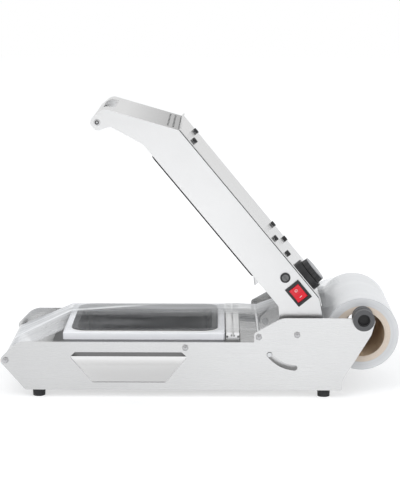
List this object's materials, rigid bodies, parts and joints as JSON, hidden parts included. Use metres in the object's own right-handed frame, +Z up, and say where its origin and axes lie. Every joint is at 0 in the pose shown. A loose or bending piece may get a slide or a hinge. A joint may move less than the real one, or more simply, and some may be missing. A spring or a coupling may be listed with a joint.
{
  "type": "tray sealer",
  "caption": "Bench tray sealer with a hinged heated arm over a moulded tray bed, grooved cutter rail and film roll on an open spindle.",
  "frame": {"origin": "on the bench plane, under the middle of the machine's length and width", "axes": "+X from the handle end to the film roll, +Y to the machine's left side, +Z up"},
  "size_m": [0.6106, 0.2508, 0.4423],
  "materials": {
    "stainless": "satin brushed stainless sheet",
    "bright_steel": "bright turned or plated steel",
    "spring_steel": "drawn spring wire",
    "white_block": "milled white plastic",
    "seal_rubber": "pale silicone",
    "black_rubber": "matt black rubber",
    "tray_plastic": "thin black formed plastic",
    "rail_alloy": "natural extruded alloy",
    "hub_plastic": "dark grey moulded plastic",
    "core_board": "wound brown board",
    "roll_film": "tightly wound clear film",
    "clear_film": "clear sealing film",
    "coated_alloy": "black non-stick coating",
    "element_steel": "dark heat-tinted tube",
    "insulation": "pressed fibre board",
    "black_plastic": "black moulded plastic",
    "red_plastic": "red translucent plastic",
    "grey_plastic": "grey moulded plastic",
    "blade_steel": "ground blade steel",
    "bronze": "sintered bush metal"
  },
  "bodies": {
    "base": {"side_plate_right": "stainless", "side_plate_left": "stainless", "bottom_pan": "stainless", "rubber_feet": "black_rubber", "foot_screws": "bright_steel", "rear_panel": "stainless", "deck_plate": "stainless", "mould_frame": "white_block", "mould_dowels": "bright_steel", "mould_gasket": "seal_rubber", "cutter_rail": "rail_alloy", "film_guide_rod": "bright_steel", "nose_rod": "bright_steel", "pivot_shaft": "bright_steel", "spring_posts": "bright_steel", "dome_nuts": "bright_steel", "counter_springs": "spring_steel", "film_web": "clear_film"},
    "tray": {"food_tray": "tray_plastic"},
    "spindle": {"film_spindle": "hub_plastic", "spindle_hubs": "hub_plastic"},
    "roll": {"roll_core": "core_board", "roll_film": "roll_film"},
    "arm": {"pivot_bushes": "bronze", "stop_pins": "bright_steel", "arm_wall_right": "stainless", "arm_wall_left": "stainless", "cover_seals": "black_rubber", "top_cover": "stainless", "front_panel": "stainless", "handle_strap": "stainless", "handle_bar": "stainless", "handle_screws": "bright_steel", "electrics_tray": "stainless", "suspension_springs": "spring_steel", "cutter_blade": "blade_steel", "blade_holder": "rail_alloy", "blade_studs": "bright_steel", "blade_nuts": "black_plastic", "thermostat_body": "grey_plastic", "knob_base": "black_plastic", "switch_body": "black_plastic", "fuse_holder": "black_plastic", "fuse_cap": "grey_plastic", "terminal_block": "grey_plastic", "cable_gland": "black_plastic"},
    "heater": {"heater_plate": "coated_alloy", "heating_element": "element_steel", "insulation_sheet": "insulation", "suspension_bolts": "bright_steel", "suspension_nuts": "black_plastic"},
    "knob": {"control_knob": "black_plastic", "knob_shaft": "bright_steel"},
    "rocker": {"power_rocker": "red_plastic"}
  },
  "joints": [
    {"name": "arm_hinge", "type": "hinge", "parent": "base", "child": "arm", "pos_m": [0.1484, 0, 0.1], "axis": [0, 1, 0], "range_deg": [-50.4, 0], "stiffness_Nm_per_rad": 3.2, "springref_deg": 114.59, "deforming": ["counter_springs", "film_web"]},
    {"name": "heater_float", "type": "slide", "parent": "arm", "child": "heater", "axis": [0.7705, 0, 0.6374], "range_m": [0, 0.003], "stiffness_N_per_m": 6000, "springref_m": -0.01, "deforming": ["suspension_springs"]},
    {"name": "rocker_tilt", "type": "hinge", "parent": "arm", "child": "rocker", "pos_m": [0.15016, -0.0995, 0.16219], "axis": [0.7705, 0, 0.6374], "range_deg": [0, 16]},
    {"name": "knob_turn", "type": "hinge", "parent": "arm", "child": "knob", "pos_m": [0.16855, -0.06, 0.18546], "axis": [0.7705, 0, 0.6374], "range_deg": [0, 270]},
    {"name": "spindle_turn", "type": "hinge", "parent": "base", "child": "spindle", "pos_m": [0.2486, 0, 0.1253], "axis": [0, 1, 0], "continuous": true},
    {"name": "roll_turn", "type": "hinge", "parent": "base", "child": "roll", "pos_m": [0.2486, 0, 0.0966], "axis": [0, 1, 0], "continuous": true},
    {"name": "tray_lift", "type": "slide", "parent": "base", "child": "tray", "axis": [0, 0, 1], "range_m": [0, 0.06], "deforming": ["film_web"]}
  ],
  "couplings": [
    {"joint": "spindle_turn", "follows": "roll_turn", "ratio": 5.8333}
  ]
}
